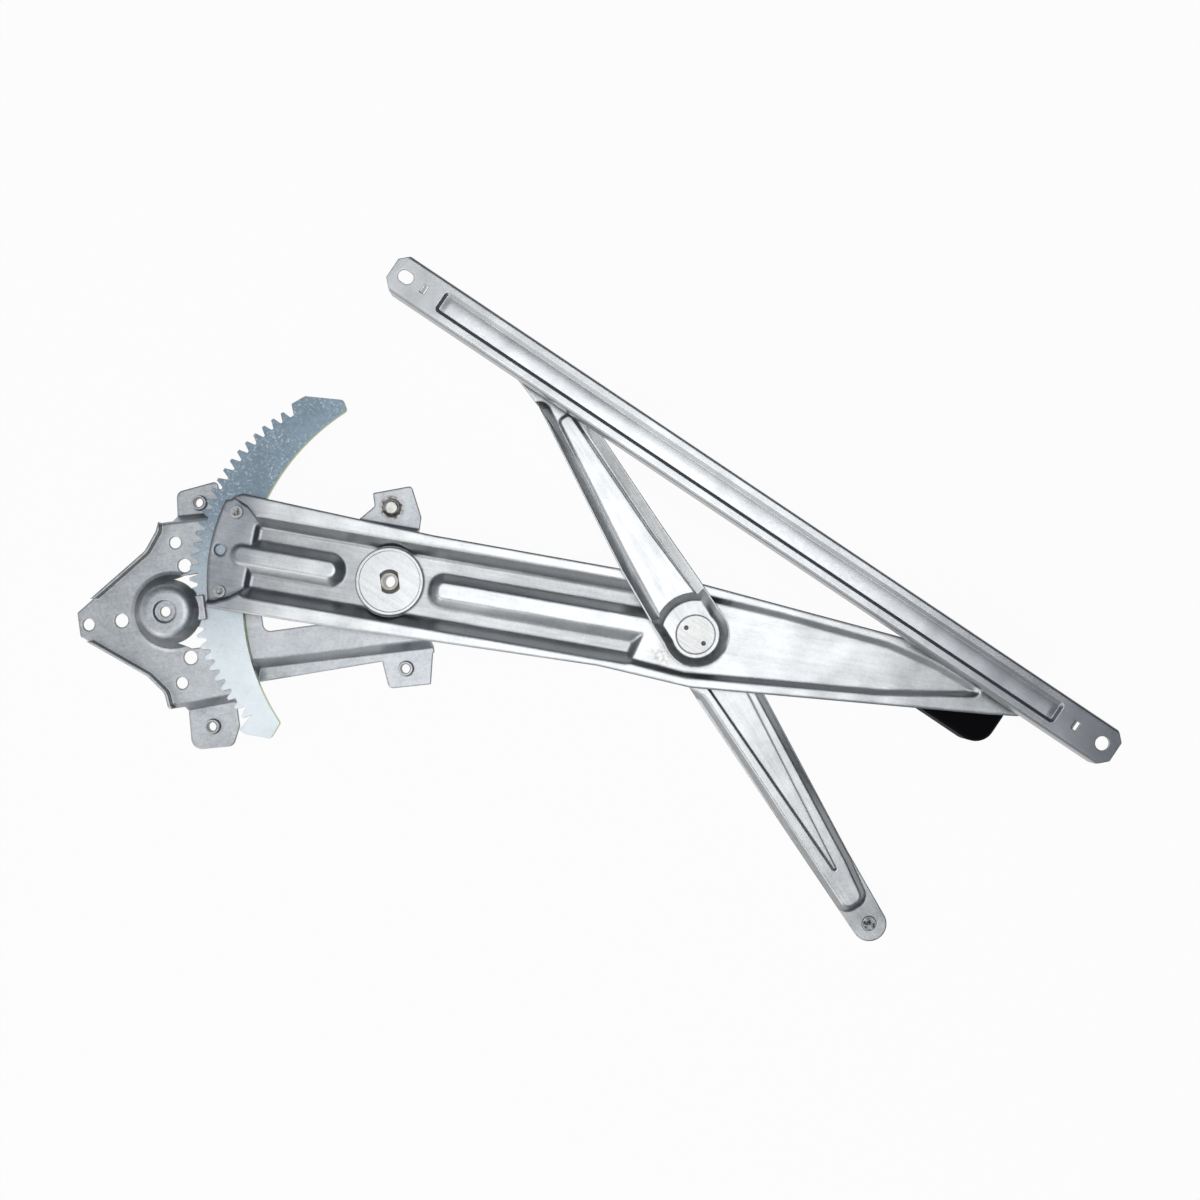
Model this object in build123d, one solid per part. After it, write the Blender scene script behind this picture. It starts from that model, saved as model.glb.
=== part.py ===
"""Cross-arm window regulator for a car door, in millimetres.

The frame is the door's. The origin is on the main pivot's axis, in the plane of the base plate's ears. +X runs along
the lift rail, +Y is up in the door, and +Z points from the door's inner panel towards the glass.
"""
from build123d import *
import math
import os

os.makedirs("parts", exist_ok=True)

# Linkage, seen along Z
main_pivot_to_cross = 170.0
half_arm = 175.0
lower_half_arm = 186.5
arm_angle = 23.94
lower_arm_droop = 1.08
plate_angle = 41.64

# Sheet thicknesses
plate_sheet = 1.6
arm_sheet = 2.0
cross_sheet = 2.0
rail_sheet = 1.2
sector_thickness = 3.0

# Clearances
running = 0.05
layer_gap = 0.8
arm_over_arm = 0.6
washer_play = 0.3
slide_gap = 0.35

# Heights pressed into the sheets
plate_raise = 12.0
rib_height = 4.2
rim_height = 7.2
tray_flange = 4.0
cross_emboss = 1.5
hat_height = 3.5
hat_recess = 1.4
rail_panel_depth = 1.4
deep = 60.0

# Draught of the pressed walls, in degrees from the vertical, and the radius of their bends
bend_radius = 1.5
arm_draft = 40.0
rib_draft = 52.0
panel_draft = 45.0
end_draft = 25.0
plate_draft = 24.0
flange_draft = 50.0
recess_draft = 40.0
rail_panel_draft = 52.0

# Main pivot
bush_radius = 12.0
bush_lip = 0.3
pin_radius = 4.9
pin_bore = 3.2
pin_flange_radius = 8.0
pin_flange = 1.6
pin_stand = 0.8
disc_radius = 18.4
disc_sheet = 1.2
disc_rim = 0.8
disc_rim_width = 1.6
disc_clearance = 1.0
flat_hole_radius = 6.6
main_washer_radius = 17.0
main_washer = 0.5

# Base plate, in its own frame: x from the pinion to the main pivot
pinion_distance = 122.0
tip_x = -174.0
tip_half_width = 6.6
wing_top = 50.0
wing_bottom = -53.0
branch_bottom = -33.5
brim_bottom = -45.0
plate_right = 17.0
edge_flange = 4.0
fixing_hole = 3.3
locating_hole = 3.8
nut_radius = 3.9
nut_height = 4.0
nut_bore = 2.55
nut_places = [(-102.0, 59.2), (-111.6, -66.0), (0.1, -48.6)]
locating_stud_place = (4.4, 41.8)
locating_stud_radius = 4.7
locating_stud_shank = 3.0
locating_stud_height = 3.4

# Pinion dome on the base plate
dome_radius = 19.5
dome_height = 12.0
dome_crest = 13.5
dome_round = 6.0
dome_foot_flare = 3.0
dome_dish = 6.3
dome_dish_depth = 1.6
dome_hole = 2.8
tab_reach = 20.0
tab_half_width = 6.8
tab_gap = 0.8

# Sector gear
gear_module = 2.0
full_circle_teeth = 108
sector_teeth = 31
first_tooth_angle = 132.46
sector_inner_radius = 80.0
sector_tip_round = 2.0

# Main arm, in its own frame: x from the main pivot to the rail end
arm_left_radius = 100.0
slot_rib_half_width = 4.3
slot_rib_start = -86.3
slot_rib_end = -30.0
long_rib_start = 27.0
sector_rivet_places = [(-88.8, 23.1), (-90.8, -21.4)]
sector_rivet_radius = 2.4
sector_rivet_head = 3.4
sector_rivet_rise = 0.9
gauge_hole_place = (-94.4, 1.3)
gauge_hole_radius = 3.0

# Cross arm, each half in its own frame: x from the cross pivot to its end
cross_shank_radius = 9.0
cross_neck_radius = 7.0
cross_neck_half_width = 5.3
cross_head_radius = 10.4
cross_head = 2.0
cross_tail_radius = 10.5
cross_tail = 1.8
cross_washer_radius = 15.0
cross_washer = 0.5
cross_end_radius = 17.9
cup_floor_radius = 12.9
cup_reach = 18.5
upper_end_radius = 8.5
lower_end_radius = 9.6

# Lift rail, with lengths from the centre of its slot
rail_half_width = 10.8
rail_depth = 11.0
rail_lip = 4.3
rail_slot_x = -78.5
rail_hole_pitch = 443.5
rail_end_over = 8.5
rail_slot_length = 8.8
rail_slot_width = 6.8
rail_hole_radius = 3.8
rail_corner = 5.0
panel_from_slot = 22.0
panel_from_hole = 27.5
panel_half_width = 6.2
lance_from_slot = 11.6
lance_from_hole = 16.9
lance_length = 3.2
lance_half_width = 2.4
lance_drop = 4.0

# Studs, clips, shoes and the lower roller
stud_radius = 4.0
stud_shoulder = 5.5
stud_head_radius = 6.5
stud_head = 1.8
staked_radius = 3.9
clip_radius = 6.0
clip_thickness = 0.8
recess_radius = 6.6
recess_depth = 2.0
shoe_half_length = 12.0
roller_radius = 8.4
roller_waist = 1.0

# Stop buffer, in the door's frame about the main stud
buffer_low = -35.5
buffer_right = 6.0
buffer_round = 11.0
buffer_bevel = 1.5
buffer_pin_place = (-15.0, -2.0)
buffer_pin_radius = 2.5
buffer_pin_head = 4.5
buffer_pin_rise = 1.0
buffer_pin_depth = 8.0
buffer_boss = 6.5

# Levels of the sheets' front faces, from the base plate towards the glass
body_front = plate_raise
sector_back = body_front + layer_gap
sector_front = sector_back + sector_thickness
end_plate_front = sector_front + arm_sheet
web_front = sector_back + arm_sheet
panel_front = web_front + rib_height
panel_back = panel_front - arm_sheet
rim_front = web_front + rim_height
rim_back = rim_front - arm_sheet
cup_back = panel_front + washer_play + cross_washer
cup_front = cup_back + cross_sheet
tray_back = rim_front + arm_over_arm
tray_front = tray_back + cross_sheet
flange_front = tray_front + tray_flange
lower_front = panel_back - washer_play - cross_washer
lower_back = lower_front - cross_sheet
tab_front = lower_front - hat_height
tab_back = tab_front - cross_sheet
lip_back = flange_front + arm_over_arm
rail_front = lip_back + rail_depth
shoe_back = lip_back + rail_sheet + slide_gap
shoe_front = rail_front - rail_sheet - rail_panel_depth - slide_gap


def polar(radius, angle):
    return (radius * math.cos(math.radians(angle)), radius * math.sin(math.radians(angle)))


def outline(points, radius):
    """A closed polygon with one radius for all its corners, or a list with one for each."""
    return make_face(FilletPolyline(*points, radius=radius, close=True))


def prism(face, low, high):
    return Pos(0, 0, low) * extrude(face, high - low)


def cylinder(radius, low, high, at=(0.0, 0.0)):
    return Pos(at[0], at[1], low) * extrude(Circle(radius), high - low)


def raised(face, top, draft, drop, bend=0.0):
    """A pad with a flat top, whose walls widen downwards. The bend is the radius round its top."""
    pad = Pos(0, 0, top) * extrude(face, drop, dir=(0, 0, -1), taper=-draft)
    return fillet(pad.faces().sort_by(Axis.Z)[-1].edges(), bend) if bend else pad


def sunk(face, mouth, floor, draft, bend=0.0):
    """The space in a basin, whose mouth has the face's outline and whose walls close in downwards."""
    space = Pos(0, 0, mouth) * extrude(face, mouth - floor, dir=(0, 0, -1), taper=draft)
    return fillet(space.faces().sort_by(Axis.Z)[0].edges(), bend) if bend else space


def sheet(form, blank, thickness):
    """A pressed sheet: the part of the blank between the form's surface and the same surface one thickness lower."""
    return (form - Pos(0, 0, -thickness) * form) & blank


def put(shape, at, angle):
    return Pos(at[0], at[1], 0) * Rot(0, 0, angle) * shape


def flatted(radius, half_width):
    """A circle with two flats."""
    return Circle(radius) & Rectangle(2 * half_width, 3 * radius)


def moved(start, step):
    return (start[0] + step[0], start[1] + step[1])


cross_at = polar(main_pivot_to_cross, arm_angle)
rail_pivot = moved(cross_at, polar(half_arm, arm_angle))
upper_angle = 180 - arm_angle
upper_at = moved(cross_at, polar(half_arm, upper_angle))
lower_angle = -arm_angle - lower_arm_droop
lower_at = moved(cross_at, polar(lower_half_arm, lower_angle))


def plate_outline():
    """The plate's body without its ears."""
    points = [(tip_x, tip_half_width), (tip_x, -tip_half_width), (-139, -33.5), (-131, -44), (-130, wing_bottom),
              (-98, wing_bottom), (-88, brim_bottom), (plate_right, brim_bottom + 3), (plate_right, 26),
              (-18, 38.5), (-98, 47.5), (-105, wing_top), (-121.5, wing_top), (-123.5, 45), (-131, 35)]
    return outline(points, [1, 1, 8, 5, 2, 3, 5, 1, 1, 5, 5, 3, 1, 3, 8])


def ear_outlines():
    """Upper left, lower left, lower right and upper right ears."""
    return [outline([(-116.5, 42), (-114, 67), (-91, 70), (-88, 42)], [1, 4, 2, 1]),
            outline([(-123.5, -45), (-125, -77.5), (-102, -78.5), (-97, -68), (-97, -45)], [1, 6, 4, 3, 1]),
            outline([(-13, -40), (-11, -58.5), (12.5, -59.2), (16.5, -40)], [1, 3, 1, 1]),
            outline([(-18, 36), (-5, 44), (-5, 51.5), (17, 52.5), (20, 34.5), (17, 24)], [1, 2, 1, 2, 2, 1])]


def dome(inset, drop):
    """The bell over the pinion, turned about the pinion's axis, with a dish in its crest."""
    foot = body_front - drop
    top = foot + dome_height
    radius = dome_radius - inset
    crest = dome_crest - inset
    rim = dome_dish + drop / 3
    flare = dome_foot_flare
    profile = FilletPolyline((0, foot - 1), (dome_radius + flare, foot - 1), (dome_radius + flare, foot),
                             (radius + flare / 3, foot + flare / 4), (radius - flare / 4, foot + flare),
                             (crest, top), (rim, top), (rim - 0.6, top - dome_dish_depth),
                             (0, top - dome_dish_depth), close=True,
                             radius=[0, 0, 0, 0, 0, dome_round - inset, 0, 0, 0])
    return Pos(-pinion_distance, 0, 0) * revolve(Plane.XZ * make_face(profile), Axis.Z)


def plate_form(inset=0.0, drop=0.0):
    """The raised body with its draughted walls over the level of the ears, and the dome over the pinion."""
    low = Pos(-80, 0) * Rectangle(300, 240)
    body = outline([(-200, 80), (-200, -80), (-160, -80), (-128, wing_bottom + 2), (-90, wing_bottom + 4),
                    (-84, branch_bottom + 1), (plate_right + 20, branch_bottom - 1.5), (plate_right + 20, 17),
                    (-20, 35), (-60, 90), (-80, 80), (-84, wing_top - 2), (-122, wing_top - 1), (-150, 80)], 0)
    body = offset(body, -inset, kind=Kind.INTERSECTION) if inset else body
    bend = bend_radius - inset / 3
    body = raised(body, body_front - drop, plate_draft, body_front, bend)
    return prism(low, -deep, plate_sheet - drop) + body + dome(inset, drop)


def upturned_edges():
    """The low walls along the plate's two left edges."""
    face = plate_outline()
    wall = face - offset(face, -plate_sheet)
    upper = Pos(-150, 32) * Rectangle(57, 38)
    lower = Pos(-151, -32) * Rectangle(46, 44)
    return prism(wall & (upper + lower), body_front - plate_sheet, body_front + edge_flange)


def base_plate():
    blank_face = plate_outline()
    for ear in ear_outlines():
        blank_face += ear
    lean = math.radians(plate_draft)
    inset = plate_sheet * (1 - math.sin(lean)) / math.cos(lean)
    pressed = (plate_form() - plate_form(inset, plate_sheet)) & prism(blank_face, 0, deep)
    plate = pressed + upturned_edges()
    window_top = sector_front + tab_gap
    window = outline([(-121, 16), (-113, 19), (-99, 19), (-99, -21.5), (-114.3, -21.5), (-124, -15.3), (-113, -9),
                      (-113, 9)], 0.6)
    plate -= prism(window, 0, window_top)
    tab = Pos(-pinion_distance + tab_reach - 3.5, 0) * Rectangle(7, 2 * tab_half_width)
    plate += prism(tab, window_top, window_top + plate_sheet)
    for place in [(-168.7, -0.6), (-115.2, 37.8), (-122.0, -39.6)]:
        plate -= cylinder(fixing_hole, 0, body_front + 1, place)
    for place in [(-150.4, -0.9), (-111.8, 24.5), (-115.4, -26.3)]:
        plate -= cylinder(locating_hole, 0, body_front + 1, place)
    for place in nut_places:
        plate -= cylinder(nut_radius, -1, plate_sheet + 1, place)
    plate -= cylinder(locating_stud_shank, -1, plate_sheet + 1, locating_stud_place)
    plate -= cylinder(dome_hole, body_front, deep, (-pinion_distance, 0))
    plate -= cylinder(pin_radius, 0, body_front + 1)
    opening = outline([(-73.5, -17.8), (-73.5, 4), (-42, 12), (-30, -17.8)], 4)
    plate -= prism(opening, 0, deep)
    return put(plate, (0, 0), plate_angle)


def clinch_nuts():
    nuts = [cylinder(nut_radius, 0, nut_height, place) - cylinder(nut_bore, -1, nut_height + 1, place)
            for place in nut_places]
    return put(Compound(children=[Part(nut.wrapped) for nut in nuts]), (0, 0), plate_angle)


def locating_stud():
    head = cylinder(locating_stud_radius, plate_sheet, plate_sheet + locating_stud_height, locating_stud_place)
    head = chamfer(head.edges().sort_by(Axis.Z)[-1], locating_stud_height / 3)
    return put(head + cylinder(locating_stud_shank, 0, plate_sheet, locating_stud_place), (0, 0), plate_angle)


def pivot_washer():
    return cylinder(main_washer_radius, body_front, body_front + main_washer) - cylinder(
        bush_radius, body_front - 1, body_front + 1)


def pivot_bush():
    return cylinder(bush_radius, body_front, web_front + bush_lip) - cylinder(pin_radius, 0, deep)


def pivot_pin():
    back = body_front - plate_sheet - pin_flange
    front = web_front + bush_lip + disc_sheet + pin_stand
    pin = cylinder(pin_radius, back, front) + cylinder(pin_flange_radius, back, back + pin_flange)
    return pin - cylinder(pin_bore, 0, deep)


def pivot_disc():
    back = web_front + bush_lip
    disc = cylinder(disc_radius, back, back + disc_sheet + disc_rim)
    disc -= cylinder(disc_radius - disc_rim_width, back + disc_sheet, deep)
    hole = Rot(0, 0, plate_angle) * flatted(flat_hole_radius, pin_radius)
    return disc - prism(hole, 0, deep)


def tooth_points(index):
    """One tooth of the sector, from its root to its tip and back."""
    pitch = 360 / full_circle_teeth
    centre = first_tooth_angle + index * pitch
    tip = gear_module * full_circle_teeth / 2 + gear_module
    root = tip - 2.25 * gear_module
    shape = [(root, -0.40), (tip, -0.13), (tip, 0.13), (root, 0.40)]
    return [polar(radius, centre + share * pitch) for radius, share in shape]


def sector_outline():
    """The toothed outer edge, the two ends and the inner arc, in the arm's frame."""
    teeth = [point for index in range(sector_teeth) for point in tooth_points(index)]
    root = gear_module * full_circle_teeth / 2 - 1.25 * gear_module
    last = first_tooth_angle + (sector_teeth - 1) * 360 / full_circle_teeth
    start = [polar(97.0, first_tooth_angle - 18.5), polar(103.0, first_tooth_angle - 18.2),
             polar(112.0, first_tooth_angle - 8.0), polar(111.5, first_tooth_angle - 3.6),
             polar(root, first_tooth_angle - 2.6)]
    end = [polar(root, last + 1.4), polar(116.0, last + 2.0), polar(115.8, last + 3.8), polar(108.5, last + 10.2),
           polar(98.5, last + 9.6)]
    inner = ThreePointArc(end[-1], polar(sector_inner_radius, 180), start[0])
    face = make_face(Polyline(*start, *teeth, *end) + inner)
    tips = [face.vertices().sort_by_distance(point)[0] for point in (start[0], start[1], start[2], end[2], end[3],
                                                                    end[4])]
    return fillet(tips, sector_tip_round)


def sector_gear():
    gear = prism(sector_outline(), sector_back, sector_front)
    for place in sector_rivet_places:
        gear -= cylinder(sector_rivet_radius, 0, deep, place)
    return put(gear, (0, 0), arm_angle)


def sector_rivets():
    top = end_plate_front + sector_rivet_rise
    rivets = [cylinder(sector_rivet_radius, sector_back, end_plate_front, place)
              + cylinder(sector_rivet_head, end_plate_front, top, place)
              - cylinder(sector_rivet_radius / 2, top - sector_rivet_rise / 2, deep, place)
              for place in sector_rivet_places]
    return put(Compound(children=[Part(rivet.wrapped) for rivet in rivets]), (0, 0), arm_angle)


def main_arm_blank():
    reach = main_pivot_to_cross + half_arm
    cross = main_pivot_to_cross
    points = [(-86, 33.4), (-94, 29), (-120, 29), (-120, -30.2), (-91, -30.8), (-49, -30.5), (cross - 50, -25.9),
              (cross + 2, -29), (reach - 10, -15.5), (reach + 12, -13), (reach + 12, 11), (cross - 5, 28.2),
              (20, 28.8)]
    face = outline(points, [4, 3, 1, 1, 0, 0, 0, 0, 0, 9, 9, 0, 0])
    right_part = Pos(reach, 0) * Rectangle(2 * reach, 200)
    return prism(face & (Circle(arm_left_radius) + right_part), 0, deep)


def main_arm_form():
    """The rim's level with the basins pressed into it and the two ribs left standing in them."""
    cross = main_pivot_to_cross
    reach = cross + half_arm
    form = prism(Rectangle(2.2 * reach, 160), -deep, rim_front)
    web = outline([(-81, 23), (cross - 18, 23), (cross - 30, -22.3), (-82, -22.3)], 7)
    ribs = outline([(long_rib_start, slot_rib_half_width), (long_rib_start, -slot_rib_half_width),
                    (cross - 10, -slot_rib_half_width), (cross - 10, slot_rib_half_width)],
                   slot_rib_half_width * 0.7)
    slot = Pos((slot_rib_start + slot_rib_end) / 2, 0.5) * SlotOverall(slot_rib_end - slot_rib_start,
                                                                     2 * slot_rib_half_width)
    panel = outline([(cross - 45, 20), (cross - 24, 22.6), (cross + 2, 22.3), (cross + 45, 19.7), (reach - 70, 13.8),
                     (reach - 43, 6.8), (reach - 8, -6), (reach - 70, -15.3), (cross + 45, -20.3), (cross - 2, -24.3),
                     (cross - 30, -22), (cross - 45, -20)], [8, 0, 0, 0, 0, 8, 3, 0, 0, 0, 0, 8])
    ends = outline([(-120, 31.8), (-91, 31.5), (-82, 27.5), (-75, 21), (-75, -17.5), (-84, -24.5), (-93, -28.6),
                    (-120, -28.8)], [1, 8, 5, 3, 3, 5, 8, 1])
    form -= sunk(web, rim_front, web_front, arm_draft, bend_radius)
    form -= sunk(panel, rim_front, panel_front, panel_draft)
    form -= sunk(ends, rim_front, end_plate_front, end_draft)
    form += raised(slot, panel_front, rib_draft, rib_height, bend_radius)
    form += raised(ribs, panel_front, rib_draft, rib_height, bend_radius)
    seat_top = disc_radius + disc_clearance + rim_height * math.tan(math.radians(20))
    return form - sunk(Circle(seat_top), rim_front, web_front, 20)


def main_arm():
    arm = sheet(main_arm_form(), main_arm_blank(), arm_sheet)
    arm -= cylinder(bush_radius + running, 0, deep)
    arm -= cylinder(cross_shank_radius + running, 0, deep, (main_pivot_to_cross, 0))
    arm -= cylinder(stud_radius, 0, deep, (main_pivot_to_cross + half_arm, 0))
    arm -= cylinder(gauge_hole_radius, 0, deep, gauge_hole_place)
    for place in sector_rivet_places:
        arm -= cylinder(sector_rivet_radius, 0, deep, place)
    arm = put(arm, (0, 0), arm_angle)
    return arm - cylinder(buffer_pin_radius, 0, deep, moved(rail_pivot, buffer_pin_place))


def cross_pivot():
    neck = flatted(cross_neck_radius, cross_neck_half_width)
    pivot = cylinder(cross_shank_radius, lower_front, cup_back)
    pivot += prism(neck, cup_back, cup_front) + cylinder(cross_head_radius, cup_front, cup_front + cross_head)
    pivot += prism(Rot(0, 0, lower_angle - upper_angle) * neck, lower_back, lower_front)
    pivot += cylinder(cross_tail_radius, lower_back - cross_tail, lower_back)
    for dimple in [(-6.3, -1.0), (5.9, 2.4)]:
        pivot -= cylinder(0.9, cup_front + cross_head - 0.6, deep, dimple)
    return put(pivot, cross_at, upper_angle)


def ring(outer, inner, low, high):
    return cylinder(outer, low, high) - cylinder(inner, low - 1, high + 1)


def cross_upper_outline():
    taper_end = half_arm - 25
    points = [(0, cross_end_radius), (50, 16), (taper_end, 6.2), (half_arm, upper_end_radius),
              (half_arm, -upper_end_radius), (taper_end, -13.2), (60, -15.6), (24, -17.2), (0, -cross_end_radius)]
    body = make_face(Polyline(*points, close=True))
    return body + Circle(cross_end_radius) + Pos(half_arm, 0) * Circle(upper_end_radius)


def cross_arm_upper():
    """A tray with flanges turned towards the glass, a raised panel in it and a cup round the pivot."""
    face = cross_upper_outline()
    form = prism(Rectangle(2.4 * half_arm, 80), -deep, flange_front)
    flange_end = half_arm - 27
    past = half_arm + 15
    mouth = outline([(-16, 14), (0, 16.9), (50, 15.2), (flange_end, 5.8), (flange_end + 2, 16), (past, 16),
                     (past, -18), (flange_end + 2, -18), (flange_end, -12.6), (60, -14.8), (24, -16.4),
                     (0, -16.9), (-16, -14)], [8, 8, 0, 2, 1, 1, 1, 1, 2, 0, 0, 8, 8])
    form -= sunk(mouth, flange_front, tray_front, flange_draft)
    panel_end = half_arm - 38
    panel = outline([(16, 11), (60, 8), (panel_end, 0.5), (panel_end, -5.5), (60, -8), (16, -11.6)],
                    [1, 0, 2, 2, 0, 1])
    form += raised(panel, tray_front + cross_emboss, panel_draft, cross_emboss)
    cup_top = cup_floor_radius + (flange_front - cup_front) * math.tan(math.radians(arm_draft - 6))
    cup = sunk(Circle(cup_top), flange_front, cup_front, arm_draft - 6)
    reach_top = cup_reach + (flange_front - cup_front) * math.tan(math.radians(panel_draft))
    side = outline([(-2, 16.9), (40, 16.9), (40, -16.9), (-2, -16.9)], 1)
    cup += sunk(Circle(reach_top), flange_front, cup_front, panel_draft) & sunk(
        side, flange_front, cup_front, arm_draft - 6)
    arm = sheet(form - cup, prism(face, 0, deep), cross_sheet)
    arm -= prism(flatted(cross_neck_radius, cross_neck_half_width), 0, deep)
    arm -= cylinder(stud_radius, 0, deep, (half_arm, 0))
    return put(arm, cross_at, upper_angle)


def cross_arm_lower():
    """A ribbed arm: a raised hat with a tapered recess in it, over a flat end with the roller's stud."""
    end = lower_half_arm
    body = make_face(Polyline((0, cross_end_radius), (48, 16), (end - 40, 10.6), (end, lower_end_radius),
                              (end, -lower_end_radius), (end - 40, -11.6), (23, -17.6), (0, -cross_end_radius),
                              close=True))
    face = body + Circle(cross_end_radius) + Pos(end, 0) * Circle(lower_end_radius)
    form = prism(Rectangle(2.4 * end, 80), -deep, tab_front)
    hat_end = end - 14.5
    hat = outline([(-40, 24), (10, 24), (32, 12.4), (hat_end - 22, 6.2), (hat_end, 3.6), (hat_end, -7),
                   (hat_end - 22, -8), (32, -12.6), (10, -24), (-40, -24)], [1, 8, 8, 0, 4, 4, 0, 8, 8, 1])
    form += raised(hat, lower_front, panel_draft, hat_height, bend_radius)
    recess_end = end - 35.5
    recess = outline([(26, 10), (recess_end, 0.6), (recess_end, -2.2), (26, -9.6)], [3, 1.3, 1.3, 3])
    form -= sunk(recess, lower_front, lower_front - hat_recess, recess_draft)
    arm = sheet(form, prism(face, 0, deep), cross_sheet)
    arm -= prism(flatted(cross_neck_radius, cross_neck_half_width), 0, deep)
    arm -= cylinder(staked_radius, 0, deep, (end, 0))
    return put(arm, cross_at, lower_angle)


def rail_stud(seat_back, seat_front):
    """A stepped stud: a head behind the arm, a shoulder up to the shoe and the journal in the shoe."""
    shoulder = shoe_back - slide_gap
    stud = cylinder(stud_head_radius, seat_back - stud_head, seat_back)
    stud += cylinder(stud_radius, seat_back, shoe_front - slide_gap)
    return stud + cylinder(stud_shoulder, seat_front, shoulder)


def rail_clip():
    low = shoe_front - recess_depth + slide_gap / 2
    return ring(clip_radius, stud_radius, low, low + clip_thickness)


def rail_shoe():
    half_width = rail_half_width - rail_sheet - slide_gap
    face = Rectangle(2 * shoe_half_length, 2 * half_width)
    shoe = prism(face, shoe_back, shoe_front)
    shoe = fillet(shoe.edges().filter_by(Axis.Z), half_width / 3)
    shoe = chamfer(shoe.faces().sort_by(Axis.Z)[-1].edges(), 0.8)
    shoe -= cylinder(stud_radius + running, 0, deep)
    return shoe - cylinder(recess_radius, shoe_front - recess_depth, deep)


def lift_rail():
    start = rail_slot_x - rail_end_over
    end = rail_slot_x + rail_hole_pitch + rail_end_over
    half = rail_half_width
    inner = half - rail_sheet
    plan = chamfer(Rectangle(end - start, 2 * half).vertices(), rail_corner)
    rail = prism(plan, lip_back, rail_front)
    channel = Pos(0, 0, lip_back + rail_sheet) * extrude(
        Rectangle(2 * (end - start), 2 * inner), rail_depth - 2 * rail_sheet)
    mouth = Pos(0, 0, lip_back - 1) * extrude(Rectangle(2 * (end - start), 2 * (half - rail_lip)), 3)
    bends = [edge for edge in rail.edges().filter_by(Axis.X) if edge.center().Z > rail_front - 1]
    rail = fillet(bends, rail_sheet + 0.6) - channel - mouth
    rail = Pos((start + end) / 2, 0, 0) * rail
    low = rail_slot_x + panel_from_slot
    high = rail_slot_x + rail_hole_pitch - panel_from_hole
    panel = Pos((low + high) / 2, 0) * RectangleRounded(high - low, 2 * panel_half_width, 2.5)
    under = Pos((low + high) / 2, 0) * RectangleRounded(high - low, 2 * panel_half_width, 2.5)
    rail += prism(under, rail_front - rail_panel_depth - rail_sheet, rail_front)
    rail -= sunk(panel, rail_front, rail_front - rail_panel_depth, rail_panel_draft)
    for x in [rail_slot_x + lance_from_slot, rail_slot_x + rail_hole_pitch - lance_from_hole]:
        slot = Pos(x, 0) * Rectangle(lance_length, 2 * lance_half_width)
        rail -= prism(slot, rail_front - 2 * rail_sheet, rail_front + 1)
        tab = Pos(x - lance_length / 2 + rail_sheet / 2, 0) * Rectangle(rail_sheet, 2 * lance_half_width)
        rail += prism(tab, rail_front - rail_sheet - lance_drop, rail_front - 0.3)
    fixing_slot = Pos(rail_slot_x, 0) * SlotOverall(rail_slot_length, rail_slot_width)
    rail -= prism(fixing_slot, rail_front - 3, rail_front + 1)
    rail -= cylinder(rail_hole_radius, rail_front - 3, rail_front + 1, (rail_slot_x + rail_hole_pitch, 0))
    return Pos(0, rail_pivot[1], 0) * rail


def lower_stud():
    stud = cylinder(staked_radius, tab_back, tab_front + 0.6)
    stud += cylinder(stud_shoulder, tab_back - slide_gap, tab_back)
    return put(stud + cylinder(stud_radius, clip_thickness, tab_back), lower_at, 0)


def lower_clip():
    return put(ring(clip_radius, stud_radius, recess_depth - clip_thickness - 0.2, recess_depth - 0.2),
               lower_at, 0)


def lower_roller():
    top = tab_back - 2 * slide_gap
    middle = top / 2
    profile = Polyline((stud_radius + running, recess_depth), (recess_radius, recess_depth), (recess_radius, 0),
                       (roller_radius - 0.5, 0), (roller_radius, 0.5), (roller_radius, middle - 2),
                       (roller_radius - roller_waist, middle), (roller_radius, middle + 2),
                       (roller_radius, top - 0.5), (roller_radius - 0.5, top), (stud_radius + running, top),
                       close=True)
    return put(revolve(Plane.XZ * make_face(profile), Axis.Z), lower_at, 0)


def stop_buffer():
    """A moulded block behind the arm's end, with its low edge along the rail's direction."""
    face = outline([(-42, buffer_low), (buffer_right, buffer_low), (buffer_right, -12), (-7.5, -9.5), (-8, 4.5),
                    (-22, 4.5), (-27, -12), (-46, -28)], [4, buffer_round, 3, 1, 4, 4, 8, 3])
    top = panel_back - washer_play
    block = prism(face, 0, top)
    block = chamfer(block.faces().sort_by(Axis.Z)[-1].edges(), buffer_bevel)
    block += cylinder(buffer_boss, top - buffer_bevel, rim_back, buffer_pin_place)
    block -= cylinder(buffer_pin_radius, buffer_pin_depth, deep, buffer_pin_place)
    return put(block, rail_pivot, 0)


def buffer_pin():
    pin = cylinder(buffer_pin_radius, buffer_pin_depth, rim_front, buffer_pin_place)
    pin += cylinder(buffer_pin_head, rim_front, rim_front + buffer_pin_rise, buffer_pin_place)
    return put(pin, rail_pivot, 0)


def washer_front():
    return put(ring(cross_washer_radius, cross_shank_radius, cup_back - cross_washer, cup_back), cross_at, 0)


def washer_rear():
    return put(ring(cross_washer_radius, cross_shank_radius, lower_front, lower_front + cross_washer), cross_at, 0)


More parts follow.
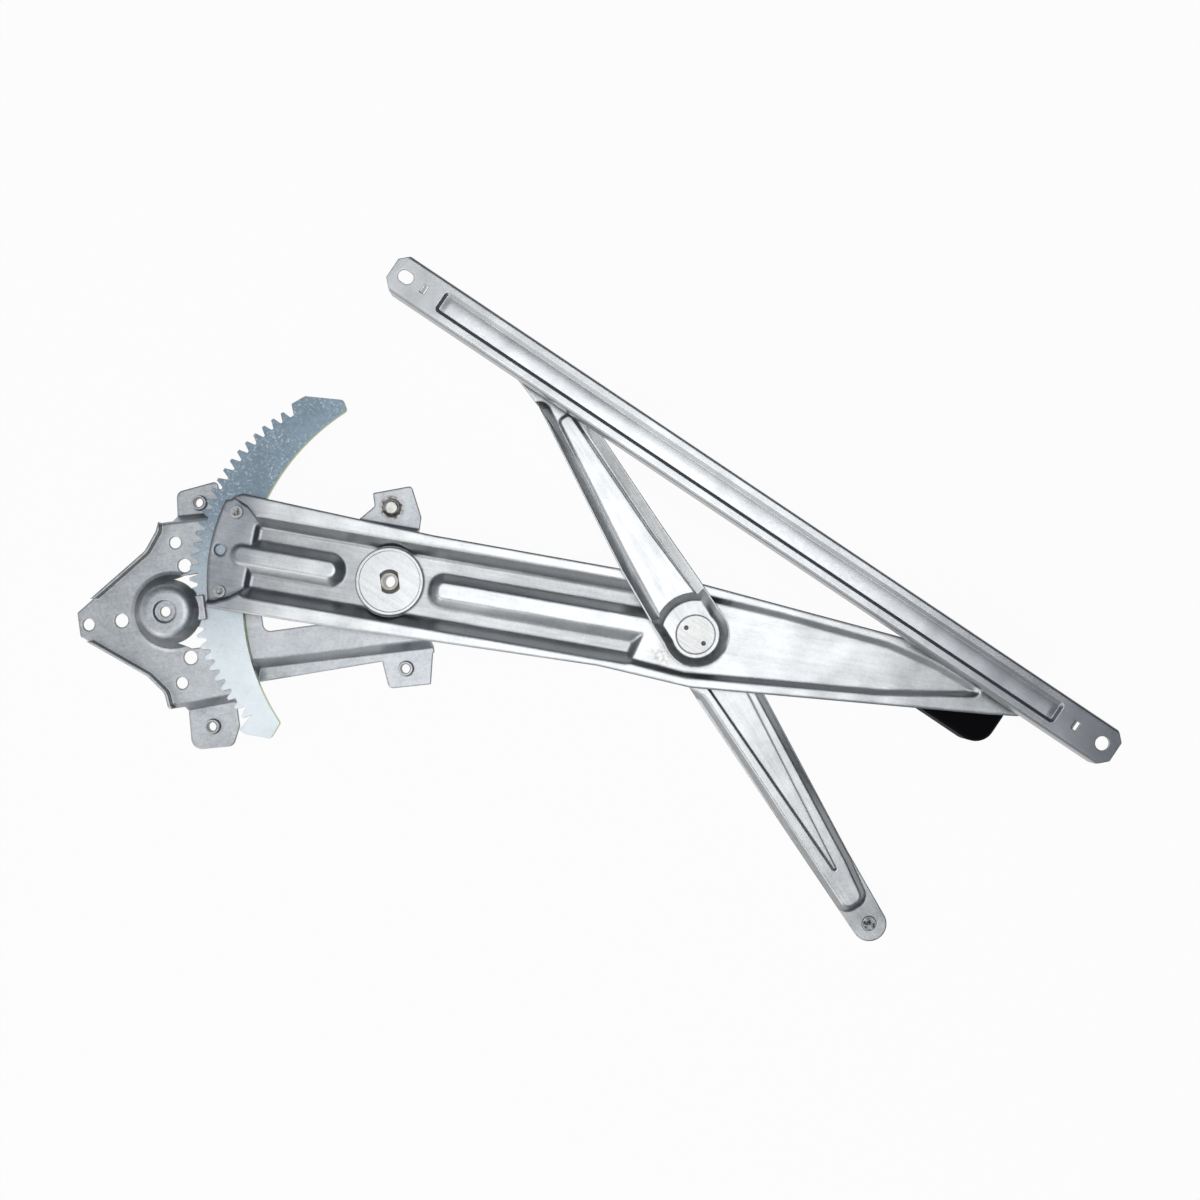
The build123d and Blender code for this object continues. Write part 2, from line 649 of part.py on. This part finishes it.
nodes = {
    "base_plate": base_plate(),
    "clinch_nuts": clinch_nuts(),
    "locating_stud": locating_stud(),
    "pivot_washer": pivot_washer(),
    "pivot_bush": pivot_bush(),
    "pivot_pin": pivot_pin(),
    "pivot_disc": pivot_disc(),
    "main_arm": main_arm(),
    "sector_gear": sector_gear(),
    "sector_rivets": sector_rivets(),
    "main_stud": put(rail_stud(rim_back, rim_front), rail_pivot, 0),
    "main_clip": put(rail_clip(), rail_pivot, 0),
    "main_shoe": put(rail_shoe(), rail_pivot, 0),
    "stop_buffer": stop_buffer(),
    "buffer_pin": buffer_pin(),
    "cross_pivot": cross_pivot(),
    "cross_washer_front": washer_front(),
    "cross_washer_rear": washer_rear(),
    "cross_arm_upper": cross_arm_upper(),
    "cross_arm_lower": cross_arm_lower(),
    "upper_stud": put(rail_stud(tray_back, tray_front), upper_at, 0),
    "upper_clip": put(rail_clip(), upper_at, 0),
    "upper_shoe": put(rail_shoe(), upper_at, 0),
    "lower_stud": lower_stud(),
    "lower_clip": lower_clip(),
    "lower_roller": lower_roller(),
    "lift_rail": lift_rail(),
}
for name, shape in nodes.items():
    export_step(shape, f"parts/{name}.step")
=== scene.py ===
import math

import bpy
from mathutils import Matrix, Vector


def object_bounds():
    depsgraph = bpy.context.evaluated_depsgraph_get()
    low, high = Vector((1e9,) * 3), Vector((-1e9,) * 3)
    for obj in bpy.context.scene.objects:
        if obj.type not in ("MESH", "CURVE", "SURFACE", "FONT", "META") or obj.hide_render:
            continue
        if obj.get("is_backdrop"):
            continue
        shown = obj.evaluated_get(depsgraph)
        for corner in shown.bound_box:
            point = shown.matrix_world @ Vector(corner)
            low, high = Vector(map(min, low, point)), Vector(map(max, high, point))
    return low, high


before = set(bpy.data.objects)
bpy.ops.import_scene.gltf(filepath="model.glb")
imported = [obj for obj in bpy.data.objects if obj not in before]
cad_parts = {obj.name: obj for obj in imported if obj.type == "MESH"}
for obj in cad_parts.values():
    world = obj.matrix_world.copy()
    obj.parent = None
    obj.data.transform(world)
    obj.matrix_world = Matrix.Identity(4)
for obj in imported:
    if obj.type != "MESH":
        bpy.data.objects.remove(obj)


def note_size(moment, into):
    low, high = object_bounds()
    into[moment] = {"low_m": [float(v) for v in low], "high_m": [float(v) for v in high]}


size = {}
note_size("cad", size)

# The camera looks straight down on the part, turned so that the lift rail runs down to the right.
# It stands over one spot and sees the image's span in the image plane. Lengths are in metres here
# and below, but for the sensor in millimetres, and the turn is in degrees.
CAMERA_TURN = -33.81
CAMERA_HEIGHT = 0.675
CAMERA_OVER = (0.1138, 0.0376)
CAMERA_SHIFT = 0.0333
CAMERA_NEAR, CAMERA_FAR = 0.01, 20
IMAGE_SPAN = 0.660
IMAGE_PLANE = 0.015
SENSOR = 36.0

# Directions on the floor, as the camera sees them, and the part's middle
RIGHT = Vector((math.cos(math.radians(CAMERA_TURN)), -math.sin(math.radians(CAMERA_TURN)), 0))
UP = Vector((math.sin(math.radians(CAMERA_TURN)), math.cos(math.radians(CAMERA_TURN)), 0))
OUT = Vector((0, 0, 1))
MIDDLE = Vector((0.11, 0.03, 0))

# The floor lies just under the part, and the camera sees it and the world as almost pure white
FLOOR_HALF = 1.6
FLOOR_DROP = -0.0003
FLOOR_WHITE = 0.95
FLOOR_SHADE = (0.9, 0.9, 0.9)
WORLD_WHITE = (0.975, 0.975, 0.975)

# What the metal reflects: from the far side of the room round to the key's side
ROOM_BRIGHT_SIDE = (-RIGHT * 0.8 - UP * 0.5 + OUT * 0.35).normalized()
ROOM = [(0.0, (0.08, 0.09, 0.105)), (0.42, (0.13, 0.15, 0.175)), (0.62, (0.19, 0.21, 0.235)),
        (0.80, (0.32, 0.34, 0.36)), (1.0, 0.9)]

# How the rolling direction lies on each pressed piece
ARM_TURN = math.radians(23.94)
CROSS_TURN = math.radians(156.06)
LOWER_TURN = math.radians(-25.02)
PLATE_TURN = math.radians(41.64)
ALONG_ARM = (0.914, 0.406, 0)
ALONG_RAIL = (1, 0, 0)

# Zinc-plated sheet: each shade is a share of the sheet's own colour, each strength says how much of
# it shows, and each spread says how far a pattern breaks up the edge of an area
# Painted shade: the lower levels of a pressed sheet are coloured darker, in blotches.
PAINTED_RECESS_SHADE, RECESS_BLOTCH_SPREAD = 0.62, 2.6
SCRATCH_SHADE, SCRATCH_STRENGTH, SCRATCH_TURN = 0.45, 0.3, 0.5
# Painted shade: steep pressed walls are coloured darker.
PAINTED_WALL_SHADE, WALL_BEGINS = 0.35, 0.975
CUT_STRENGTH = 0.8
FADE_SPREAD = 0.8
ROUGH_SWING = 0.14
SHEET_BEVEL_SAMPLES = 12
CROWN_ENDS = 0.975

# Moulded plastic and rubber
SKIN_SCALE = 900
SKIN_SWING, SKIN_ROUGH_DROP = 0.15, 0.07
MOULD_BEND, MOULD_BEVEL_SAMPLES = 0.0008, 4
MOULD_MOTTLE = 0.15

# Height of the finest relief on metal and plastic
RELIEF = 0.0002
SHEET_RELIEF_STRENGTH = 0.12

FLECK = (0.62, 0.68, 0.72)
SLATE = (0.23, 0.295, 0.35)
CHROMATE = (0.42, 0.47, 0.20)
PALE_CHROMATE = (0.40, 0.42, 0.30)
# Painted shade: the darker ends of the main arm and the lift rail
END_PLATE_PAINTED_SHADE = (0.33, 0.345, 0.37)
RAIL_END_PAINTED_SHADE = (0.42, 0.43, 0.45)
# Painted shade: dark rings round fitted parts, at the rims of bores and in dimples
PAINTED_SHADE = (0.05, 0.05, 0.055)
STAKE_GRIME = (0.045, 0.045, 0.05)
RUST = (0.20, 0.12, 0.06)
THIN_RUST = (0.10, 0.055, 0.02)
DEEP_RUST = (0.035, 0.02, 0.008)
RIVET_BROWN = (0.10, 0.08, 0.065)

# Axes that rust, grime and painted shade lie around
PIVOT = (0, 0)
CROSS = (0.15538, 0.06898)
RIVETS = [(-0.09053, -0.01492), (-0.0743, -0.0564)]
NUTS = [(-0.11556, -0.02353), (-0.03955, -0.12348), (0.03237, -0.03625)]
DIMPLES = [(0.16154, 0.06734), (0.14901, 0.06918)]
LOCATING_STUD = (-0.02449, 0.03416)
LOWER_STUD = (0.32437, -0.00989)
RUSTY_BEND = (0.1464, 0.0481)
RUSTY_RIM = (0.161, 0.0936)


def look(place, target):
    """A transform at a place, whose -Z points at the target."""
    turn = (target - place).to_track_quat("-Z", "Y").to_matrix().to_4x4()
    return Matrix.Translation(place) @ turn


def add_camera():
    data = bpy.data.cameras.new("view")
    data.sensor_width = SENSOR
    data.lens = SENSOR * (CAMERA_HEIGHT - IMAGE_PLANE) / IMAGE_SPAN
    data.shift_y = CAMERA_SHIFT
    data.clip_start = CAMERA_NEAR
    data.clip_end = CAMERA_FAR
    camera = bpy.data.objects.new("view", data)
    turn = Matrix.Rotation(math.radians(-CAMERA_TURN), 4, "Z")
    camera.matrix_world = Matrix.Translation((*CAMERA_OVER, CAMERA_HEIGHT)) @ turn
    bpy.context.scene.collection.objects.link(camera)
    bpy.context.scene.camera = camera


def add_lamp(name, place, width, height, power):
    """A rectangular lamp that points at the part's middle."""
    data = bpy.data.lights.new(name, "AREA")
    data.shape = "RECTANGLE"
    data.size = width
    data.size_y = height
    data.energy = power
    lamp = bpy.data.objects.new(name, data)
    lamp.matrix_world = look(place, MIDDLE)
    bpy.context.scene.collection.objects.link(lamp)


def scaled(colour, factor):
    """A darker or lighter colour, with no channel over 1."""
    return tuple(min(c * factor, 1) for c in colour)


class Nodes:
    """Short calls for building a node tree."""

    def __init__(self, tree):
        self.tree = tree
        tree.nodes.clear()

    def add(self, kind, **settings):
        node = self.tree.nodes.new(kind)
        for key, value in settings.items():
            setattr(node, key, value)
        return node

    def link(self, start, end):
        self.tree.links.new(start, end)

    def mix(self, factor, first, second, blend="MIX"):
        node = self.add("ShaderNodeMix", data_type="RGBA", blend_type=blend)
        for socket, value in ((0, factor), (6, first), (7, second)):
            if isinstance(value, (int, float)):
                node.inputs[socket].default_value = value
            elif isinstance(value, (tuple, list)):
                node.inputs[socket].default_value = (*value, 1)
            else:
                self.link(value, node.inputs[socket])
        return node.outputs[2]

    def math(self, operation, first, second=0.0, **settings):
        node = self.add("ShaderNodeMath", operation=operation, **settings)
        for socket, value in enumerate((first, second)):
            if isinstance(value, (int, float)):
                node.inputs[socket].default_value = value
            else:
                self.link(value, node.inputs[socket])
        return node.outputs[0]

    def share(self, value, low, high):
        """How far a value has come from low to high."""
        return self.math("DIVIDE", self.math("SUBTRACT", value, low), high - low)

    def split(self, vector):
        node = self.add("ShaderNodeSeparateXYZ")
        self.link(vector, node.inputs[0])
        return node.outputs

    def dot(self, vector, direction):
        node = self.add("ShaderNodeVectorMath", operation="DOT_PRODUCT")
        self.link(vector, node.inputs[0])
        node.inputs[1].default_value = direction
        return node.outputs["Value"]

    def ramp(self, value, stops):
        node = self.add("ShaderNodeValToRGB")
        ramp = node.color_ramp
        while len(ramp.elements) < len(stops):
            ramp.elements.new(0.5)
        for element, (place, shade) in zip(ramp.elements, stops):
            element.position = place
            element.color = (*shade, 1) if isinstance(shade, tuple) else (shade, shade, shade, 1)
        self.link(value, node.inputs[0])
        return node.outputs[0]

    def noise(self, where, scale, detail, roughness, stretch=(1, 1, 1), turn=0.0):
        mapping = self.add("ShaderNodeMapping", vector_type="TEXTURE")
        mapping.inputs["Rotation"].default_value = (0, 0, turn)
        mapping.inputs["Scale"].default_value = tuple(1 / s for s in stretch)
        self.link(where, mapping.inputs[0])
        node = self.add("ShaderNodeTexNoise")
        node.inputs["Scale"].default_value = scale
        node.inputs["Detail"].default_value = detail
        node.inputs["Roughness"].default_value = roughness
        self.link(mapping.outputs[0], node.inputs["Vector"])
        return node.outputs["Fac"]

    def bevel(self, radius, samples):
        node = self.add("ShaderNodeBevel", samples=samples)
        node.inputs["Radius"].default_value = radius
        return node.outputs[0]

    def bump(self, height, normal, distance, strength=1.0):
        node = self.add("ShaderNodeBump")
        node.inputs["Strength"].default_value = strength
        node.inputs["Distance"].default_value = distance
        self.link(height, node.inputs["Height"])
        self.link(normal, node.inputs["Normal"])
        return node.outputs[0]

    def show(self, shader, output="ShaderNodeOutputMaterial"):
        self.link(shader.outputs[0], self.add(output).inputs[0])


def new_material(name):
    material = bpy.data.materials.new(name)
    material.use_nodes = True
    return material, Nodes(material.node_tree)


def near(n, where, centre, radius, soft):
    """1 within a radius of a vertical axis, falling to 0 over the soft distance."""
    flat = n.add("ShaderNodeVectorMath", operation="MULTIPLY")
    n.link(where, flat.inputs[0])
    flat.inputs[1].default_value = (1, 1, 0)
    gap = n.add("ShaderNodeVectorMath", operation="DISTANCE")
    n.link(flat.outputs[0], gap.inputs[0])
    gap.inputs[1].default_value = (*centre, 0)
    past = n.math("SUBTRACT", gap.outputs["Value"], radius)
    return n.math("SUBTRACT", 1.0, n.math("DIVIDE", past, soft), use_clamp=True)


def crowned(n, where, normal, crown):
    """The normal of a strip along X that is rolled to stand proudest along its middle."""
    middle, half = crown["middle"], crown["half"]
    place = n.split(where)
    along = n.math("ABSOLUTE", n.math("SUBTRACT", place["X"], middle[0]))
    along = n.math("DIVIDE", along, half[0])
    across = n.math("DIVIDE", n.math("SUBTRACT", place["Y"], middle[1]), half[1])
    arch = n.math("MAXIMUM", n.math("SUBTRACT", 1.0, n.math("MULTIPLY", across, across)), 0.0)
    height = n.math("MULTIPLY", arch, n.ramp(along, [(CROWN_ENDS, 1.0), (1.0, 0.0)]))
    return n.bump(height, normal, distance=crown["rise"])


def faded(n, where, colour, cloud, coarse, fade, fleck):
    """The colour changed to another along a direction, with pale flecks where it has changed."""
    share = n.share(n.dot(where, fade["direction"]), fade["start"], fade["end"])
    share = n.math("ADD", share, n.math("MULTIPLY", n.math("SUBTRACT", coarse, 0.5), FADE_SPREAD))
    share = n.ramp(share, [(0.0, 0.0), (1.0, 1.0)])
    colour = n.mix(share, colour, fade["colour"])
    spots = n.ramp(n.noise(where, scale=800, detail=2, roughness=0.6), [(0.56, 0.0), (0.66, 1.0)])
    spots = n.math("MULTIPLY", spots, share)
    spots = n.math("MULTIPLY", spots, n.ramp(cloud, [(0.4, 0.2), (0.6, 1.0)]))
    return n.mix(n.math("MULTIPLY", spots, fleck), colour, FLECK)


def stained_or_shaded(n, where, colour, coarse, stain_or_shade):
    """The colour with a ring or disc of another colour around a vertical axis: rust, grime and
    painted shade.
    """
    blot = near(n, where, stain_or_shade["centre"], stain_or_shade["radius"], stain_or_shade["soft"])
    if stain_or_shade.get("patchy"):
        blot = n.math("MULTIPLY", blot, n.ramp(coarse, [(0.42, 0.0), (0.6, 1.0)]))
    return n.mix(n.math("MULTIPLY", blot, stain_or_shade["strength"]), colour, stain_or_shade["colour"])


def scratched(n, where, colour, cloud, turn, mark):
    """The colour with thin scratches at an angle to the rolling direction, in some places only."""
    lines = n.noise(where, scale=60, detail=2, roughness=0.5, stretch=(0.5, 30, 1),
                    turn=turn + SCRATCH_TURN)
    marks = n.ramp(lines, [(0.67, 0.0), (0.70, 1.0), (0.73, 0.0)])
    marks = n.math("MULTIPLY", marks, n.ramp(cloud, [(0.5, 0.0), (0.62, 1.0)]))
    return n.mix(n.math("MULTIPLY", marks, SCRATCH_STRENGTH), colour, mark)


def zinc_steel(name, shade, rough, mottle=0.12, grain=0.10, streak=0.08, turn=0.0, bend=0.0006,
               wave=0.0015, tint=(0.96, 0.985, 1.0), recess_shade=None, fade=None, stains_and_shade=(), fleck=0.0,
               cut=None, painted_wall_darkening=None, crown=None):
    """Zinc-plated sheet: cloudy spangle, grain, streaks along one direction and scratches.

    turn: the direction of rolling.
    bend and wave: the radius of the bends and the height of the sheet's slow waves.
    recess_shade: the two heights between which the sheet goes from blotchy painted shade to bright.
    fade: a direction, two distances along it, and the colour of the far end.
    fleck: how strongly pale flecks show on the faded end.
    cut: the colour of the sheared edges.
    painted_wall_darkening: how much darker painted shade makes a full wall, and how far its normal
    still points up.
    crown: the middle of a rolled strip along X, half its length and width, and how far it rises.
    """
    material, n = new_material(name)
    where = n.add("ShaderNodeTexCoord").outputs["Object"]
    cloud = n.noise(where, scale=55, detail=5, roughness=0.62)
    fine = n.noise(where, scale=1500, detail=3, roughness=0.7)
    coarse = n.noise(where, scale=420, detail=4, roughness=0.65)
    rolled = n.noise(where, scale=90, detail=3, roughness=0.6, stretch=(0.35, 9, 1), turn=turn)
    base = scaled(tint, shade)
    clouds = n.ramp(cloud, [(0.3, 0.0), (0.7, 1.0)])
    colour = n.mix(clouds, scaled(base, 1 - mottle), scaled(base, 1 + mottle))
    # Painted shade: below the first height the sheet is coloured darker, in blotches, up to its own
    # colour above the second.
    if recess_shade:
        patch = n.noise(where, scale=38, detail=4, roughness=0.6, stretch=(0.5, 2.2, 1),
                        turn=turn)
        patch = n.math("MULTIPLY", n.math("SUBTRACT", patch, 0.5), RECESS_BLOTCH_SPREAD)
        bright = n.math("ADD", n.share(n.split(where)["Z"], *recess_shade), patch)
        colour = n.mix(n.ramp(bright, [(0.0, 0.0), (1.0, 1.0)]), scaled(base, PAINTED_RECESS_SHADE), colour)
    if fade:
        colour = faded(n, where, colour, cloud, coarse, fade, fleck)
    for stain_or_shade in stains_and_shade:
        colour = stained_or_shaded(n, where, colour, coarse, stain_or_shade)
    colour = n.mix(grain, colour, n.ramp(fine, [(0.35, 0.25), (0.65, 1.0)]), "OVERLAY")
    colour = n.mix(grain, colour, n.ramp(coarse, [(0.35, 0.2), (0.65, 1.0)]), "OVERLAY")
    colour = n.mix(streak, colour, n.ramp(rolled, [(0.4, 0.1), (0.6, 1.0)]), "OVERLAY")
    colour = scratched(n, where, colour, cloud, turn, scaled(base, SCRATCH_SHADE))
    if cut:
        facing = n.split(n.add("ShaderNodeNewGeometry").outputs["True Normal"])["Z"]
        side = n.ramp(n.math("ABSOLUTE", facing), [(0.2, 1.0), (0.3, 0.0)])
        colour = n.mix(n.math("MULTIPLY", side, CUT_STRENGTH), colour, cut)
    normal = n.bevel(bend, SHEET_BEVEL_SAMPLES)
    # Painted shade: where the bevelled normal leans away from the vertical, the wall is coloured
    # darker.
    if painted_wall_darkening:
        level = n.math("ABSOLUTE", n.split(normal)["Z"])
        wall = n.ramp(level, [(painted_wall_darkening["full"], 1.0), (WALL_BEGINS, 0.0)])
        wall = n.math("MULTIPLY", wall, painted_wall_darkening["strength"])
        colour = n.mix(wall, colour, scaled(base, PAINTED_WALL_SHADE))
    if crown:
        normal = crowned(n, where, normal, crown)
    normal = n.bump(n.noise(where, scale=16, detail=2, roughness=0.45), normal, distance=wave)
    normal = n.bump(n.math("ADD", fine, coarse), normal, RELIEF, SHEET_RELIEF_STRENGTH)
    roughness = n.math("ADD", n.math("MULTIPLY", coarse, ROUGH_SWING), rough - ROUGH_SWING / 2)
    shader = n.add("ShaderNodeBsdfPrincipled")
    shader.inputs["Metallic"].default_value = 1.0
    n.link(colour, shader.inputs["Base Color"])
    n.link(roughness, shader.inputs["Roughness"])
    n.link(normal, shader.inputs["Normal"])
    n.show(shader)
    return material


def moulded(name, colour, rough, grain=0.3, gloss=0.4):
    """Moulded plastic or rubber with a fine skin."""
    material, n = new_material(name)
    where = n.add("ShaderNodeTexCoord").outputs["Object"]
    fine = n.noise(where, SKIN_SCALE, detail=3, roughness=0.6)
    cloud = n.noise(where, scale=60, detail=3, roughness=0.5)
    shade = n.mix(cloud, scaled(colour, 1 - MOULD_MOTTLE), scaled(colour, 1 + MOULD_MOTTLE))
    bevel = n.bevel(MOULD_BEND, MOULD_BEVEL_SAMPLES)
    shader = n.add("ShaderNodeBsdfPrincipled")
    shader.inputs["Specular IOR Level"].default_value = gloss
    roughness = n.math("ADD", n.math("MULTIPLY", fine, SKIN_SWING), rough - SKIN_ROUGH_DROP)
    n.link(shade, shader.inputs["Base Color"])
    n.link(roughness, shader.inputs["Roughness"])
    n.link(n.bump(fine, bevel, RELIEF, grain), shader.inputs["Normal"])
    n.show(shader)
    return material


def floor_material():
    """White for the camera and for reflections, with the object's soft shadow kept."""
    material, n = new_material("floor_white")
    path = n.add("ShaderNodeLightPath")
    seen = n.math("MAXIMUM", path.outputs["Is Camera Ray"], path.outputs["Is Glossy Ray"])
    seen = n.math("MAXIMUM", seen, path.outputs["Is Transmission Ray"])
    diffuse = n.add("ShaderNodeBsdfDiffuse")
    diffuse.inputs["Color"].default_value = (*FLOOR_SHADE, 1)
    white = n.add("ShaderNodeEmission")
    white.inputs["Strength"].default_value = 1.0
    blend = n.add("ShaderNodeMixShader")
    n.link(n.math("MULTIPLY", seen, FLOOR_WHITE), blend.inputs[0])
    n.link(diffuse.outputs[0], blend.inputs[1])
    n.link(white.outputs[0], blend.inputs[2])
    n.show(blend)
    return material


def add_floor():
    mesh = bpy.data.meshes.new("floor")
    corners = [(MIDDLE.x + x * FLOOR_HALF, MIDDLE.y + y * FLOOR_HALF, FLOOR_DROP)
               for x, y in ((-1, -1), (1, -1), (1, 1), (-1, 1))]
    mesh.from_pydata(corners, [], [(0, 1, 2, 3)])
    floor = bpy.data.objects.new("floor", mesh)
    bpy.context.scene.collection.objects.link(floor)
    mesh.materials.append(floor_material())
    floor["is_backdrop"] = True


def set_world():
    """White for the camera, and for the metal a room that is bright on the key's side only."""
    world = bpy.data.worlds.new("studio")
    bpy.context.scene.world = world
    world.use_nodes = True
    n = Nodes(world.node_tree)
    direction = n.add("ShaderNodeTexCoord").outputs["Generated"]
    towards_key = n.math("ADD", n.math("MULTIPLY", n.dot(direction, ROOM_BRIGHT_SIDE), 0.5), 0.5)
    room = n.ramp(towards_key, ROOM)
    path = n.add("ShaderNodeLightPath")
    background = n.add("ShaderNodeBackground")
    background.inputs["Strength"].default_value = 1.0
    n.link(n.mix(path.outputs["Is Camera Ray"], room, WORLD_WHITE), background.inputs["Color"])
    n.show(background, "ShaderNodeOutputWorld")


def dress(material, *names):
    for name in names:
        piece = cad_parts[name]
        piece.data.materials.clear()
        piece.data.materials.append(material)


add_camera()
set_world()
add_floor()
add_lamp("key", MIDDLE - RIGHT * 0.75 - UP * 0.95 + OUT * 0.75, width=0.9, height=0.9, power=3)
add_lamp("top", MIDDLE + RIGHT * 0.01 + UP * 0.02 + OUT * 1.5, width=1.15, height=1.0, power=6.9)

# Base plate: painted shade on its steep walls and in dark rings round the three nuts; the locating
# stud has rust.
plate_rust_and_shade = [
    dict(centre=LOCATING_STUD, radius=0.0052, soft=0.0005, colour=DEEP_RUST, strength=0.8),
    dict(centre=LOCATING_STUD, radius=0.0056, soft=0.0022, colour=THIN_RUST, strength=1.0,
         patchy=True),
    *(dict(centre=nut, radius=0.0041, soft=0.0004, colour=PAINTED_SHADE, strength=0.6) for nut in NUTS)]
dress(zinc_steel("plate_steel", shade=0.55, rough=0.42, mottle=0.16, grain=0.16, streak=0.05,
                 turn=PLATE_TURN, bend=0.0014, tint=(0.92, 0.955, 1.0), cut=PALE_CHROMATE,
                 painted_wall_darkening=dict(strength=0.45, full=0.6), stains_and_shade=plate_rust_and_shade),
      "base_plate")

# Main arm: painted shade on lower levels, steep walls, the end plate and rings round disc and
# rivets.
arm_rust_and_shade = [
    dict(centre=RUSTY_BEND, radius=0.002, soft=0.007, colour=RUST, strength=0.55, patchy=True),
    dict(centre=RUSTY_RIM, radius=0.0005, soft=0.003, colour=RUST, strength=0.8, patchy=True),
    dict(centre=PIVOT, radius=0.0190, soft=0.0006, colour=PAINTED_SHADE, strength=0.7),
    *(dict(centre=rivet, radius=0.0038, soft=0.0005, colour=PAINTED_SHADE, strength=0.4, patchy=True)
      for rivet in RIVETS)]
dress(zinc_steel("arm_steel", shade=0.58, rough=0.31, streak=0.06, turn=ARM_TURN, bend=0.0024,
                 wave=0.003, recess_shade=(0.0147, 0.0187), painted_wall_darkening=dict(strength=0.65, full=0.6),
                 fade=dict(direction=ALONG_ARM, start=-0.068, end=-0.084, colour=END_PLATE_PAINTED_SHADE),
                 stains_and_shade=arm_rust_and_shade),
      "main_arm")

# Upper cross arm: painted shade on lower levels, steep walls and in a ring round the pivot head.
cross_painted_shade = dict(centre=CROSS, radius=0.0108, soft=0.0005, colour=PAINTED_SHADE, strength=0.8)
dress(zinc_steel("cross_steel", shade=0.56, rough=0.30, turn=CROSS_TURN, bend=0.0012, wave=0.002,
                 recess_shade=(0.0155, 0.0235), painted_wall_darkening=dict(strength=0.2, full=0.6), stains_and_shade=[cross_painted_shade]),
      "cross_arm_upper")
# Lower cross arm: painted shade on its steep walls.
dress(zinc_steel("lower_steel", shade=0.54, rough=0.32, turn=LOWER_TURN, bend=0.0010, wave=0.002,
                 painted_wall_darkening=dict(strength=0.75, full=0.6)),
      "cross_arm_lower")
# Lift rail: painted shade on its steep walls, and darker towards its +X end.
dress(zinc_steel("rail_steel", shade=0.60, rough=0.31, grain=0.03, streak=0.03, bend=0.0006,
                 wave=0.002, painted_wall_darkening=dict(strength=0.6, full=0.86),
                 crown=dict(middle=(0.1405, 0.14), half=(0.197, 0.0055), rise=0.0004),
                 fade=dict(direction=ALONG_RAIL, start=0.12, end=0.36, colour=RAIL_END_PAINTED_SHADE)),
      "lift_rail")
dress(zinc_steel("sector_steel", shade=0.80, rough=0.36, mottle=0.06, grain=0.12, streak=0.02,
                 turn=PLATE_TURN, bend=0.0003, tint=(0.89, 0.965, 1.0), cut=CHROMATE, fleck=0.75,
                 fade=dict(direction=UP, start=-0.045, end=0.035, colour=SLATE)),
      "sector_gear")
dress(zinc_steel("disc_steel", shade=0.57, rough=0.34, mottle=0.08, bend=0.0005,
                 tint=(0.97, 0.985, 1.0)),
      "pivot_disc")

rivet_stains = [
    dict(centre=rivet, radius=0.0021, soft=0.0005, colour=RIVET_BROWN, strength=0.9, patchy=True)
    for rivet in RIVETS]
dress(zinc_steel("rivet_steel", shade=0.46, rough=0.42, mottle=0.2, bend=0.0005,
                 stains_and_shade=rivet_stains),
      "sector_rivets")
# Nuts: painted shade in a dark ring at each bore's rim.
nut_painted_shade = [
    dict(centre=nut, radius=0.0028, soft=0.0004, colour=PAINTED_SHADE, strength=0.7) for nut in NUTS]
dress(zinc_steel("nut_steel", shade=0.46, rough=0.36, mottle=0.2, bend=0.0003, stains_and_shade=nut_painted_shade),
      "clinch_nuts")
dress(zinc_steel("pin_steel", shade=0.36, rough=0.40, mottle=0.3, bend=0.0004,
                 tint=(1.0, 0.96, 0.88)),
      "pivot_pin", "buffer_pin")
dress(zinc_steel("dome_steel", shade=0.40, rough=0.22, mottle=0.2, bend=0.002,
                 tint=(1.0, 0.98, 0.94)),
      "locating_stud")

# Pivot head: painted shade in its two dimples.
dimple_painted_shade = [
    dict(centre=dimple, radius=0.0011, soft=0.0004, colour=PAINTED_SHADE, strength=0.9)
    for dimple in DIMPLES]
dress(zinc_steel("head_steel", shade=0.47, rough=0.30, mottle=0.10, bend=0.0006,
                 tint=(1.0, 1.0, 0.99), stains_and_shade=dimple_painted_shade),
      "cross_pivot")
stake_stain = dict(centre=LOWER_STUD, radius=0.0034, soft=0.0006, colour=STAKE_GRIME,
                   strength=1.0, patchy=True)
dress(zinc_steel("stud_steel", shade=0.50, rough=0.30, mottle=0.10, bend=0.0005,
                 tint=(1.0, 1.0, 0.98), stains_and_shade=[stake_stain]),
      "main_stud", "upper_stud", "lower_stud")
dress(zinc_steel("clip_steel", shade=0.16, rough=0.5, tint=(1, 1, 1)),
      "main_clip", "upper_clip", "lower_clip")

dress(moulded("black_rubber", colour=(0.003, 0.003, 0.004), rough=0.6, gloss=0.04),
      "stop_buffer")
dress(moulded("natural_nylon", colour=(0.72, 0.70, 0.62), rough=0.42, grain=0.12),
      "main_shoe", "upper_shoe", "lower_roller")
dress(moulded("bearing_nylon", colour=(0.16, 0.15, 0.12), rough=0.35, grain=0.1),
      "pivot_washer", "pivot_bush", "cross_washer_front", "cross_washer_rear")

bpy.context.scene.view_settings.view_transform = "Standard"

note_size("finished", size)
